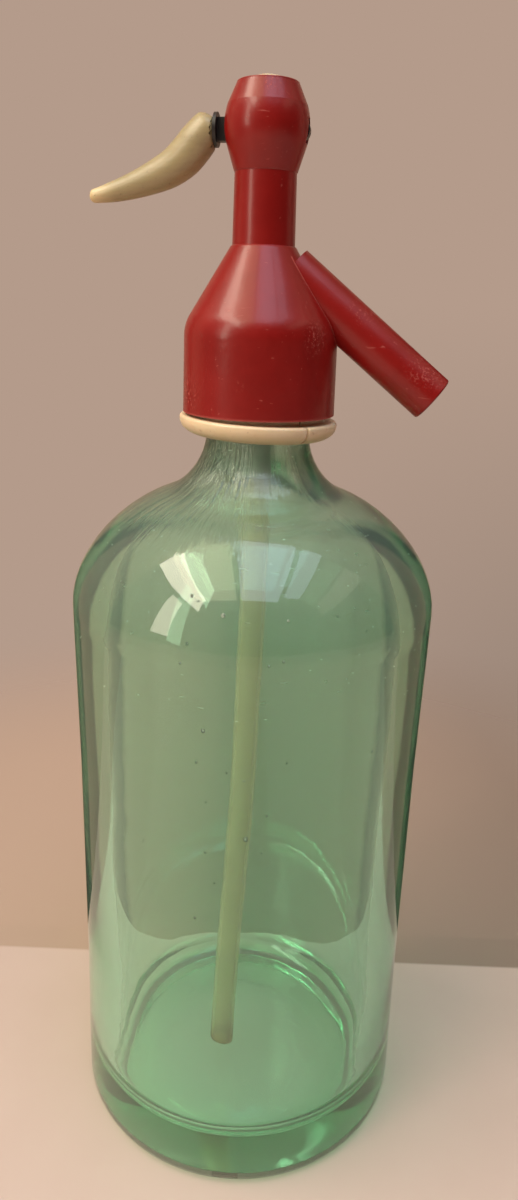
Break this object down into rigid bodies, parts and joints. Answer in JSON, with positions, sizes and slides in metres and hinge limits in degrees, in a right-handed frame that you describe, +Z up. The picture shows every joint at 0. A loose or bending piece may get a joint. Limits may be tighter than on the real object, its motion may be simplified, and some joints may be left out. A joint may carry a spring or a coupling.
{
  "type": "soda siphon",
  "caption": "Glass soda siphon with a screw-on plastic head: a hand lever pushes a sprung stem down, opens the valve and lets soda out of the slanting spout.",
  "frame": {"origin": "middle of the bottle's base, on the surface it stands on", "axes": "+Z up along the bottle's axis, +X towards the spout, -X towards the lever's handle"},
  "size_m": [0.1032, 0.1032, 0.2997],
  "materials": {
    "green_glass": "gloss",
    "cream_plastic": "satin",
    "red_plastic": "gloss",
    "brass": "satin",
    "black_rubber": "matte",
    "white_plastic": "satin",
    "clear_rubber": "matte",
    "tube_plastic": "satin",
    "spring_steel": "satin",
    "black_steel": "satin",
    "horn_plastic": "satin"
  },
  "bodies": {
    "bottle_and_head": {"glass_bottle": "green_glass", "collar_half_left": "cream_plastic", "collar_half_right": "cream_plastic", "head_shell": "red_plastic", "spout_tube": "red_plastic", "top_cap": "cream_plastic", "valve_seat": "brass", "lip_gasket": "black_rubber", "head_gasket": "black_rubber", "tube_holder": "white_plastic", "tube_sleeve": "clear_rubber", "dip_tube": "tube_plastic", "stem_seal": "black_rubber", "gland_washer": "brass", "return_spring": "spring_steel"},
    "lever": {"lever_bar": "black_steel", "lever_handle": "horn_plastic"},
    "stem": {"valve_stem": "brass", "valve_disc": "black_rubber", "valve_nut": "brass"}
  },
  "joints": [
    {"name": "lever_press", "type": "hinge", "parent": "bottle_and_head", "child": "lever", "pos_m": [0.008, 0, 0.288], "axis": [0, -1, 0], "range_deg": [0, 12]},
    {"name": "stem_slide", "type": "slide", "parent": "bottle_and_head", "child": "stem", "axis": [0, 0, -1], "range_m": [0, 0.00168], "stiffness_N_per_m": 1200, "springref_m": -0.006, "deforming": ["return_spring"]}
  ],
  "couplings": [
    {"joint": "lever_press", "follows": "stem_slide", "rad_per_m": 125}
  ]
}
